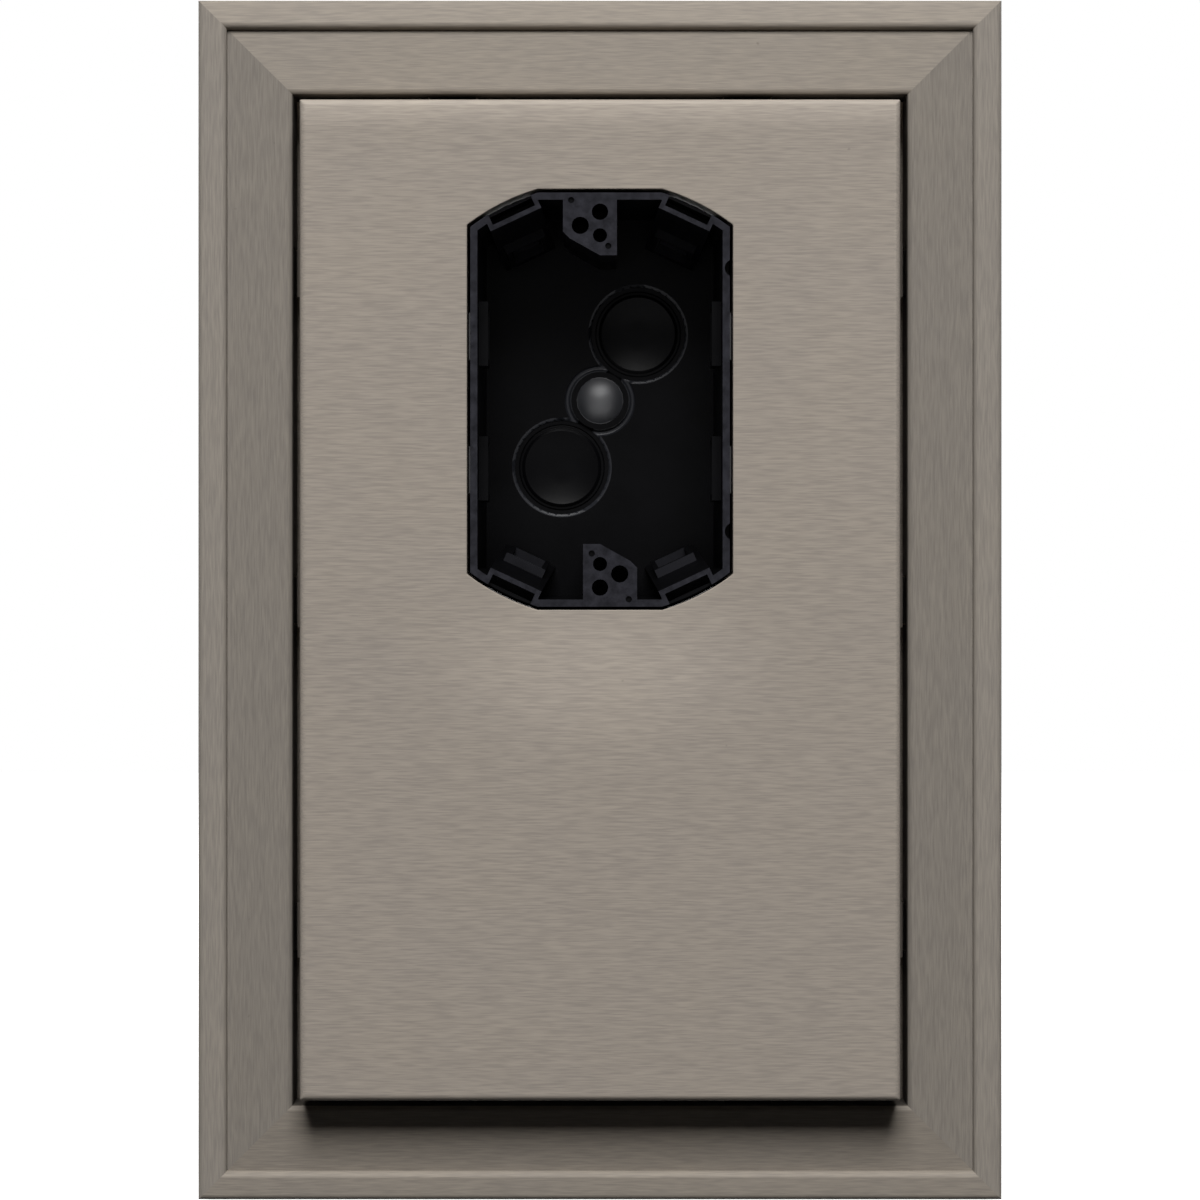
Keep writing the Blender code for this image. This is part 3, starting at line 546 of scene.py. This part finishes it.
def clay_finish(name, tint, painted_shade_upright_tint=None):
    """Moulded clay-coloured plastic with a fine brushed grain along each member."""
    material, shader = new_material(name)
    add, join = node_maker(material)
    spacing = bpy.context.scene.block_finish.grain
    coordinates = add("TexCoord").outputs["Object"]
    grain = brushed(add, join, coordinates, spacing, upright=False)
    shade = (*tint, 1)
    # Ring: the upright members take their grain along them and a darker clay as painted shade
    if painted_shade_upright_tint:
        mask, *insets = ring_masks(add, join, coordinates)
        upright = brushed(add, join, coordinates, spacing, upright=True)
        pick = add("Mix", data_type="FLOAT")
        for place, source in ((0, mask), (2, grain), (3, upright)):
            join(source, pick.inputs[place])
        grain = pick.outputs[0]
        shade = mixed(add, join, mask, shade, (*painted_shade_upright_tint, 1))
        finish = bpy.context.scene.block_finish
        # Painted shade: the frame and the skirt of the ring are darkened by their masks
        for inside, depth in zip(insets, (finish.painted_frame_shade, finish.painted_skirt_shade)):
            deeper = ramp(add, join, inside, 0.0, 1.0, (1, 1, 1), (depth, depth, depth))
            shade = mixed(add, join, 1.0, shade, deeper, "MULTIPLY")
    else:
        # Panel: a painted glow below the opening and a painted highlight along its top
        for patch in (painted_glow, painted_top_highlight):
            shade = mixed(add, join, 1.0, shade, patch(add, join, coordinates), "MULTIPLY")
    specks = noise(add, join, coordinates, SPECKS, 2.0)
    clouds = ramp(add, join, noise(add, join, coordinates, CLOUDS), *NOISE_RANGE, *CLOUD_SHADES)
    lines = ramp(add, join, grain, *GRAIN_RANGE, *GRAIN_SHADES)
    dust = ramp(add, join, noise(add, join, coordinates, DUST, 1.0), *DUST_RANGE, *DUST_SHADES)
    for layer in (lines, clouds, dust):
        shade = mixed(add, join, 1.0, shade, layer, "MULTIPLY")
    join(shade, shader.inputs["Base Color"])
    height = sum_of(add, join, ((grain, 1.0), (specks, SPECK_SHARE)))
    surface(add, join, shader, grain, CLAY_GLOSS, height, CLAY_BUMP, CLAY_SHINE)
    return material


def front_mask(add, join, coordinates, depth):
    """One on the front of the box as far back as depth, and zero from twice that depth on."""
    split = add("SeparateXYZ")
    join(coordinates, split.inputs["Vector"])
    mask = add("MapRange", To_Min=1.0, To_Max=0.0,
               From_Min=BOX_LOW[1] + depth, From_Max=BOX_LOW[1] + 2 * depth)
    join(split.outputs["Y"], mask.inputs["Value"])
    return mask.outputs["Result"]


def black_finish(name, tint, rim_tint, low_gloss, high_gloss, shine):
    """Smooth black moulding with faint flow marks, and a matt front that is a little greyer."""
    material, shader = new_material(name)
    add, join = node_maker(material)
    coordinates = add("TexCoord").outputs["Object"]
    flow = noise(add, join, coordinates, FLOW, 5.0, 0.6)
    grit = noise(add, join, coordinates, GRIT, 2.0)
    scuffs = noise(add, join, coordinates, SCUFFS, 4.0, 0.65)
    inside = ramp(add, join, flow, *FLOW_RANGE, *(scaled(tint, share) for share in FLOW_SHADES))
    scuffed = ramp(add, join, scuffs, *NOISE_RANGE, *(scaled(rim_tint, share) for share in SCUFF_SHADES))
    front = front_mask(add, join, coordinates, bpy.context.scene.block_finish.rim_depth)
    join(mixed(add, join, front, inside, scuffed), shader.inputs["Base Color"])
    surface(add, join, shader, flow, (low_gloss, high_gloss), grit, BLACK_BUMP, shine)
    return material


def finish_named(name):
    """The finish of that name, made when it is first asked for."""
    if name in bpy.data.materials:
        return bpy.data.materials[name]
    tints = bpy.context.scene.block_finish
    if name in BLACK_FINISHES:
        tint, rim_tint, *gloss = BLACK_FINISHES[name]
        return black_finish(name, getattr(tints, tint), getattr(tints, rim_tint), *gloss)
    clays = {
        "brushed_panel_clay": (tints.panel,),
        # Saw teeth: the panel's clay darkened as painted shade
        "brushed_ratchet_clay": (scaled(tints.panel, tints.painted_ratchet_shade),),
        "brushed_trim_clay": (tints.trim_level, tints.trim_upright_painted_shade),
    }
    return clay_finish(name, *clays[name])


# Operators, one for each piece or group of like pieces

class BLOCK_OT_trim_ring(bpy.types.Operator):
    """Draws the trim ring round its section and notches its skirt for the pawls"""

    bl_idname = "block.trim_ring"
    bl_label = "Trim Ring"

    def section(self, sizes):
        """Section of the ring from the back of its outer lip, over the face, to its hollow back."""
        back = -RING_HIGH[1]
        siding = back + sizes.skirt_depth
        crest = -RING_LOW[1]
        top = siding + sizes.band_height
        foot = top - sizes.band_step
        step = sizes.band_width
        edge = sizes.face_width - sizes.frame_edge
        inner = sizes.face_width - sizes.skirt_wall
        return (
            [(0, siding)]
            + arc((sizes.band_radius, top - sizes.band_fall - sizes.band_radius), sizes.band_radius, 180, 90)
            + arc((step - sizes.band_radius, top - sizes.band_radius), sizes.band_radius, 90, 0)
            + [(step, foot)]
            + arc((edge, crest - sizes.frame_edge), sizes.frame_edge, 90, 0)
            + [(sizes.face_width, back), (inner, back), (inner, crest - CREST_WALL * sizes.wall)]
            + [(step - sizes.wall, foot - sizes.wall), (step - sizes.wall, top - sizes.wall)]
            + [(sizes.wall, top - sizes.band_fall - sizes.wall), (sizes.wall, siding)]
        )

    def notches(self, gap):
        """Corners of the boxes that clear the pawls, with a gap beside each and room through the skirt."""
        boxes = []
        for name in PAWLS:
            low, high = (Vector(corner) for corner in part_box(f"snap_pawl_{name}"))
            along = Vector((0, gap, gap)) if name.startswith(("left", "right")) else Vector((gap, gap, 0))
            through = Vector((0 if along.x else MM, 0, 0 if along.z else MM))
            end = Vector((0, MM, 0))
            boxes.append((low - along - through, high + along + through + end))
        return boxes

    def execute(self, context):
        sizes = context.scene.block_ring
        ring = mitred_loop("trim_ring_face", RING_HIGH[0], RING_HIGH[2], self.section(sizes))
        cut_boxes(ring, self.notches(sizes.notch_gap))
        sharpen_mitres(ring)
        smooth(ring)
        weigh_normals(ring)
        dress(ring, "trim_ring", "ring", finish_named("brushed_trim_clay"))
        return {"FINISHED"}


class BLOCK_OT_base(bpy.types.Operator):
    """Rounds the edges of the base, apart from its saw teeth, which get the panel's clay darkened as painted
    shade
    """

    bl_idname = "block.base"
    bl_label = "Base"

    def on_ratchet(self, place):
        """Whether a point lies on the saw teeth of a side wall, which stay crisp."""
        sizes = bpy.context.scene.block_moulding
        beside = abs(place.x) > sizes.panel_width / 2
        above = abs(place.z) > sizes.panel_height / 2
        return beside != above and sizes.flange_thickness < -place.y < sizes.ratchet_front

    def execute(self, context):
        base = traced("mounting_base", "base_moulding")
        round_edges(base, context.scene.block_moulding.clay_edge, self.on_ratchet)
        smooth(base)
        weigh_normals(base)
        dress(base, "mounting_base", "base", finish_named("brushed_panel_clay"))
        # The saw teeth get the darkened clay of painted shade
        base.data.materials.append(finish_named("brushed_ratchet_clay"))
        for face in base.data.polygons:
            face.material_index = all(self.on_ratchet(base.data.vertices[i].co) for i in face.vertices)
        return {"FINISHED"}


class BLOCK_OT_pawls(bpy.types.Operator):
    """Rounds the snap pawls of the ring"""

    bl_idname = "block.pawls"
    bl_label = "Snap Pawls"

    def execute(self, context):
        for name in PAWLS:
            pawl = traced(f"snap_pawl_{name}", f"pawl_finger_{name}")
            round_edges(pawl, context.scene.block_moulding.clay_edge / 2)
            smooth(pawl)
            weigh_normals(pawl)
            dress(pawl, f"snap_pawl_{name}", f"pawl_{name}", finish_named("brushed_trim_clay"))
        return {"FINISHED"}


class BLOCK_OT_box(bpy.types.Operator):
    """Cuts the pin marks and the grooves of the electrical box, flattens its dome and rounds its edges"""

    bl_idname = "block.box"
    bl_label = "Electrical Box"

    def pin_marks(self, box, sizes):
        """Shallow round marks on the two bosses: those of the lower are those of the upper turned round."""
        for turn in (1, -1):
            for x, z in PIN_PLACES:
                bpy.ops.object.select_all(action="DESELECT")
                place = (turn * x, BOX_LOW[1], BOX_MIDDLE + turn * z)
                bpy.ops.mesh.primitive_cylinder_add(
                    vertices=24, radius=sizes.pin_radius, depth=2 * sizes.pin_depth,
                    location=place, rotation=(math.pi / 2, 0, 0))
                cut_away(box, bpy.context.object)

    def knockout_slopes(self, box, sizes):
        """Sloping rings from the back wall down to the grooves round the knockouts."""
        rise, run = sizes.slope_depth, sizes.slope_width
        # The cutter stands a little proud of the wall, as a share of its depth
        spare = 0.1
        for low, high in DISCS:
            centre = (low + high) / 2
            groove = (high.x - low.x) / 2 + sizes.groove_margin
            bpy.ops.object.select_all(action="DESELECT")
            place = (centre.x, low.y + rise * (1 - spare) / 2, centre.z)
            bpy.ops.mesh.primitive_cone_add(
                vertices=72, radius1=groove, radius2=groove + run * (1 + spare), depth=rise * (1 + spare),
                location=place, rotation=(math.pi / 2, 0, 0))
            cut_away(box, bpy.context.object)

    def dome_groove(self, box, sizes):
        """A shallow round groove in the back wall, round the collar of the dome."""
        bpy.ops.object.select_all(action="DESELECT")
        place = (DOME.x, BACK_WALL - sizes.dome_groove / 2, DOME.z)
        bpy.ops.mesh.primitive_torus_add(
            major_radius=sizes.dome_groove_radius, minor_radius=sizes.dome_groove,
            major_segments=72, minor_segments=20, location=place, rotation=(math.pi / 2, 0, 0))
        cut_away(box, bpy.context.object)

    def off_axis(self, place, centre):
        return math.hypot(place.x - centre.x, place.z - centre.z)

    def on_dome(self, place, sizes):
        """Whether a point lies on the dome, in front of its collar."""
        front = BACK_WALL - sizes.collar * DOME_START
        return self.off_axis(place, DOME) < sizes.dome_radius and place.y < front

    def round_detail(self, place):
        """Whether a point lies on the round forms of the back wall, which keep their own edges."""
        sizes = bpy.context.scene.block_moulding
        rings = [(DOME, sizes.dome_groove_radius + sizes.dome_groove)]
        for low, high in DISCS:
            reach = (high.x - low.x) / 2 + sizes.groove_margin + SLOPE_REACH * sizes.slope_width
            rings.append(((low + high) / 2, reach))
        near = any(self.off_axis(place, centre) < reach for centre, reach in rings)
        return near and place.y > BACK_WALL - 2 * sizes.collar

    def in_groove(self, place, sizes):
        """Whether a point lies on a sloping wall round the dome or a knockout."""
        behind = place.y - BACK_WALL
        return self.round_detail(place) and -HAIR < behind < GROOVE_DEPTH * sizes.slope_depth

    def flatten_dome(self, box, sizes):
        """Lowers the dome towards its collar."""
        activate(box)
        bpy.ops.object.mode_set(mode="EDIT")
        bpy.ops.mesh.select_mode(type="VERT")
        bpy.ops.mesh.select_all(action="DESELECT")
        bpy.ops.object.mode_set(mode="OBJECT")
        for vertex in box.data.vertices:
            vertex.select = self.on_dome(vertex.co, sizes)
        bpy.ops.object.mode_set(mode="EDIT")
        seat = (0, BACK_WALL - sizes.collar, 0)
        bpy.ops.transform.resize(value=(1, sizes.dome_flattening, 1), center_override=seat)
        bpy.ops.object.mode_set(mode="OBJECT")

    def near_clamp(self, place, sizes):
        """Whether a point lies on the raised edges round a clamp."""
        margin = Vector((1, 1, 1)) * sizes.clamp_margin
        boxes = [(low - margin, high + margin) for low, high in CLAMP_BOXES]
        return any(all(low[i] < place[i] < high[i] for i in range(3)) for low, high in boxes)

    def pick_finishes(self, box, sizes):
        """Gives the dome and the grooves a glossier finish and the edges round the clamps the clamps' finish,
        all three with a greyer black as painted sheen.
        """
        for name in ("black_polished_dome", "black_groove_wall", "black_clamp_face"):
            box.data.materials.append(finish_named(name))
        tests = (self.on_dome, self.in_groove, self.near_clamp)
        for face in box.data.polygons:
            corners = [box.data.vertices[i].co for i in face.vertices] + [face.center]
            kept = [all(test(place, sizes) for place in corners) for test in tests]
            face.material_index = kept.index(True) + 1 if any(kept) else 0

    def execute(self, context):
        sizes = context.scene.block_moulding
        box = traced("electrical_box", "box_shell")
        self.pin_marks(box, sizes)
        self.knockout_slopes(box, sizes)
        self.dome_groove(box, sizes)
        self.flatten_dome(box, sizes)
        round_edges(box, sizes.black_edge, self.round_detail)
        smooth(box, FINE_ANGLE)
        weigh_normals(box)
        dress(box, "electrical_box", "base", finish_named("black_box_moulding"))
        self.pick_finishes(box, sizes)
        return {"FINISHED"}


class BLOCK_OT_knockouts(bpy.types.Operator):
    """Models the two break-out discs, each held by a thin web and with a step round a dished face"""

    bl_idname = "block.knockouts"
    bl_label = "Knockouts"

    def execute(self, context):
        sizes = context.scene.block_moulding
        for name, (low, high) in zip(KNOCKOUTS, DISCS):
            disc = self.disc(name, low, high, sizes)
            smooth(disc, FINE_ANGLE)
            weigh_normals(disc)
            dress(disc, f"knockout_{name}", "base", finish_named("black_knockout_face"))
        return {"FINISHED"}

    def disc(self, name, low, high, sizes):
        """A disc drawn forwards from its back: web, step, sloping lip and dished face."""
        centre = (low + high) / 2
        radius = (high.x - low.x) / 2
        bpy.ops.object.select_all(action="DESELECT")
        bpy.ops.mesh.primitive_circle_add(
            vertices=72, radius=radius, fill_type="NGON",
            location=(centre.x, high.y, centre.z), rotation=(math.pi / 2, 0, 0))
        disc = bpy.context.object
        disc.name = f"knockout_disc_{name}"
        apply_place(disc)
        middle = (centre.x, 0, centre.z)
        bpy.ops.object.mode_set(mode="EDIT")
        bpy.ops.mesh.select_all(action="SELECT")
        bpy.ops.mesh.extrude_region_move(TRANSFORM_OT_translate={"value": (0, -sizes.web_depth, 0)})
        self.shrink((radius + sizes.web_reach) / radius, middle)
        bpy.ops.mesh.extrude_region_move(TRANSFORM_OT_translate={"value": (0, -sizes.web_thickness, 0)})
        self.shrink(radius / (radius + sizes.web_reach), middle)
        rise = high.y - low.y - sizes.disc_step - sizes.web_depth - sizes.web_thickness
        bpy.ops.mesh.extrude_region_move(TRANSFORM_OT_translate={"value": (0, -rise, 0)})
        face = radius - sizes.disc_groove
        lip = face + sizes.lip_width
        self.shrink(lip / radius, middle)
        rise = sizes.disc_step - sizes.lip_depth
        bpy.ops.mesh.extrude_region_move(TRANSFORM_OT_translate={"value": (0, -rise, 0)})
        self.shrink(face / lip, middle)
        bpy.ops.transform.translate(value=(0, -sizes.lip_depth, 0))
        reach = face
        for share in DISH_RINGS:
            target = face * share
            drop = sizes.disc_dish * ((reach / face) ** 2 - share ** 2)
            self.shrink(target / reach, middle)
            bpy.ops.transform.translate(value=(0, drop, 0))
            reach = target
        bpy.ops.mesh.select_all(action="SELECT")
        bpy.ops.mesh.normals_make_consistent(inside=False)
        bpy.ops.object.mode_set(mode="OBJECT")
        round_edges(disc, sizes.black_edge / 2)
        return disc

    def shrink(self, factor, middle):
        """Insets the selected cap by drawing a smaller copy of it towards its middle."""
        bpy.ops.mesh.extrude_region_move(TRANSFORM_OT_translate={"value": (0, 0, 0)})
        bpy.ops.transform.resize(value=(factor, 1, factor), center_override=middle)


class BLOCK_OT_latches(bpy.types.Operator):
    """Rounds the latch tongues and the cable clamps of the box"""

    bl_idname = "block.latches"
    bl_label = "Latches and Clamps"

    def execute(self, context):
        edge = context.scene.block_moulding.black_edge
        # The clamps' finish has a greyer black as painted sheen
        groups = (("box_latch", "latch", LATCHES, "tongue", "black_latch_tongue"),
                  ("cable_clamp", "clamp", CLAMPS, "flap", "black_clamp_face"))
        for node, body, names, word, finish in groups:
            for name in names:
                piece = traced(f"{node}_{name}", f"{body}_{word}_{name}")
                round_edges(piece, edge)
                smooth(piece, FINE_ANGLE)
                weigh_normals(piece)
                dress(piece, f"{node}_{name}", f"{body}_{name}", finish_named(finish))
        return {"FINISHED"}


class BLOCK_OT_stage(bpy.types.Operator):
    """Sets up the floor, the white surround, the lights and the camera"""

    bl_idname = "block.stage"
    bl_label = "Stage"

    def floor(self, sizes, tint):
        """A pale floor that is seen white round the block's shadow and throws little light back at it."""
        bpy.ops.object.select_all(action="DESELECT")
        place = (0, 0, RING_LOW[2] - sizes.floor_drop)
        bpy.ops.mesh.primitive_plane_add(size=sizes.floor_size, location=place)
        floor = bpy.context.object
        floor.name = "studio_floor"
        apply_place(floor)
        material, shader = new_material("pale_floor")
        add, join = node_maker(material)
        shader.inputs["Roughness"].default_value = FLOOR_ROUGHNESS
        shader.inputs["Specular IOR Level"].default_value = 0.0
        seen = self.seen_rays(add, join)
        bounced = (FLOOR_BOUNCE, FLOOR_BOUNCE, FLOOR_BOUNCE, 1)
        join(mixed(add, join, seen, bounced, (*tint, 1)), shader.inputs["Base Color"])
        reach = add("VectorMath", operation="LENGTH")
        join(add("TexCoord").outputs["Object"], reach.inputs[0])
        level = add("MapRange", From_Min=sizes.pool_near, From_Max=sizes.pool_far,
                    To_Min=sizes.pool_level, To_Max=WHITE)
        join(reach.outputs["Value"], level.inputs["Value"])
        shown = add("Math", operation="MULTIPLY")
        join(level.outputs["Result"], shown.inputs[0])
        join(seen, shown.inputs[1])
        glow = add("Emission")
        join(shown.outputs[0], glow.inputs["Strength"])
        both = add("AddShader")
        join(shader.outputs["BSDF"], both.inputs[0])
        join(glow.outputs["Emission"], both.inputs[1])
        join(both.outputs["Shader"], material.node_tree.nodes["Material Output"].inputs["Surface"])
        floor.data.materials.append(material)

    def seen_rays(self, add, join):
        """One for camera, glossy and transmission rays, so that the surround is white where it is seen."""
        path = add("LightPath")
        value = path.outputs["Is Camera Ray"]
        for name in ("Is Glossy Ray", "Is Transmission Ray"):
            largest = add("Math", operation="MAXIMUM")
            join(value, largest.inputs[0])
            join(path.outputs[name], largest.inputs[1])
            value = largest.outputs[0]
        return value

    def surround(self, ambient):
        world = bpy.data.worlds.new("studio_white")
        world.use_nodes = True
        bpy.context.scene.world = world
        add, join = node_maker(world)
        background = world.node_tree.nodes["Background"]
        background.inputs["Color"].default_value = (WHITE, WHITE, WHITE, 1)
        level = add("MapRange", To_Min=ambient, To_Max=WHITE)
        join(self.seen_rays(add, join), level.inputs["Value"])
        join(level.outputs["Result"], background.inputs["Strength"])

    def softbox(self, name, around, above, sizes, power):
        """A soft lamp aimed at the block from a side and a height, both in degrees from straight ahead."""
        lamp = bpy.data.lights.new(name, "AREA")
        lamp.shape = "RECTANGLE"
        lamp.size = sizes.box_width
        lamp.size_y = sizes.box_height
        lamp.energy = power
        side, rise = math.radians(around), math.radians(above)
        way = Vector((math.sin(side) * math.cos(rise), -math.cos(side) * math.cos(rise), math.sin(rise)))
        obj = bpy.data.objects.new(name, lamp)
        obj.location = way * sizes.lamp_distance
        obj.rotation_euler = way.to_track_quat("Z", "Y").to_euler()
        bpy.context.scene.collection.objects.link(obj)

    def camera(self, sizes):
        ring = bpy.context.scene.block_ring
        band = -RING_HIGH[1] + ring.skirt_depth + ring.band_height
        data = bpy.data.cameras.new("camera")
        data.sensor_fit = "AUTO"
        data.angle = 2 * math.atan(sizes.view_width / 2 / sizes.distance)
        obj = bpy.data.objects.new("camera", data)
        obj.location = (0, -band - sizes.distance, 0)
        obj.rotation_euler = (math.pi / 2, 0, 0)
        bpy.context.scene.collection.objects.link(obj)
        bpy.context.scene.camera = obj

    def execute(self, context):
        scene = context.scene
        scene.view_settings.view_transform = "Standard"
        sizes = scene.block_stage
        self.floor(sizes, scene.block_finish.floor)
        self.surround(sizes.ambient)
        self.softbox("key_above", 0, sizes.key_rise, sizes, sizes.key_power)
        for name, around in (("rear_right", sizes.rear_side), ("rear_left", -sizes.rear_side)):
            self.softbox(name, around, sizes.rear_rise, sizes, sizes.rear_power)
        self.camera(sizes)
        return {"FINISHED"}


class BLOCK_PT_panel(bpy.types.Panel):
    """Lists the pieces of the mounting block and their settings"""

    bl_idname = "BLOCK_PT_panel"
    bl_label = "Siding Mounting Block"
    bl_space_type = "VIEW_3D"
    bl_region_type = "UI"
    bl_category = "Block"

    def draw(self, context):
        for operator in OPERATORS:
            self.layout.operator(operator.bl_idname)
        for name, group in SETTINGS.items():
            column = self.layout.column()
            for key in group.__annotations__:
                column.prop(getattr(context.scene, name), key)


OPERATORS = [
    BLOCK_OT_trim_ring,
    BLOCK_OT_base,
    BLOCK_OT_pawls,
    BLOCK_OT_box,
    BLOCK_OT_knockouts,
    BLOCK_OT_latches,
    BLOCK_OT_stage,
]


def register():
    for group in (*SETTINGS.values(), *OPERATORS, BLOCK_PT_panel):
        bpy.utils.register_class(group)
    for name, group in SETTINGS.items():
        setattr(bpy.types.Scene, name, bpy.props.PointerProperty(type=group))


def unregister():
    for name in SETTINGS:
        delattr(bpy.types.Scene, name)
    for group in reversed((*SETTINGS.values(), *OPERATORS, BLOCK_PT_panel)):
        bpy.utils.unregister_class(group)


def main():
    register()
    for operator in OPERATORS:
        group, name = operator.bl_idname.split(".")
        getattr(getattr(bpy.ops, group), name)()


if __name__ == "__main__":
    main()
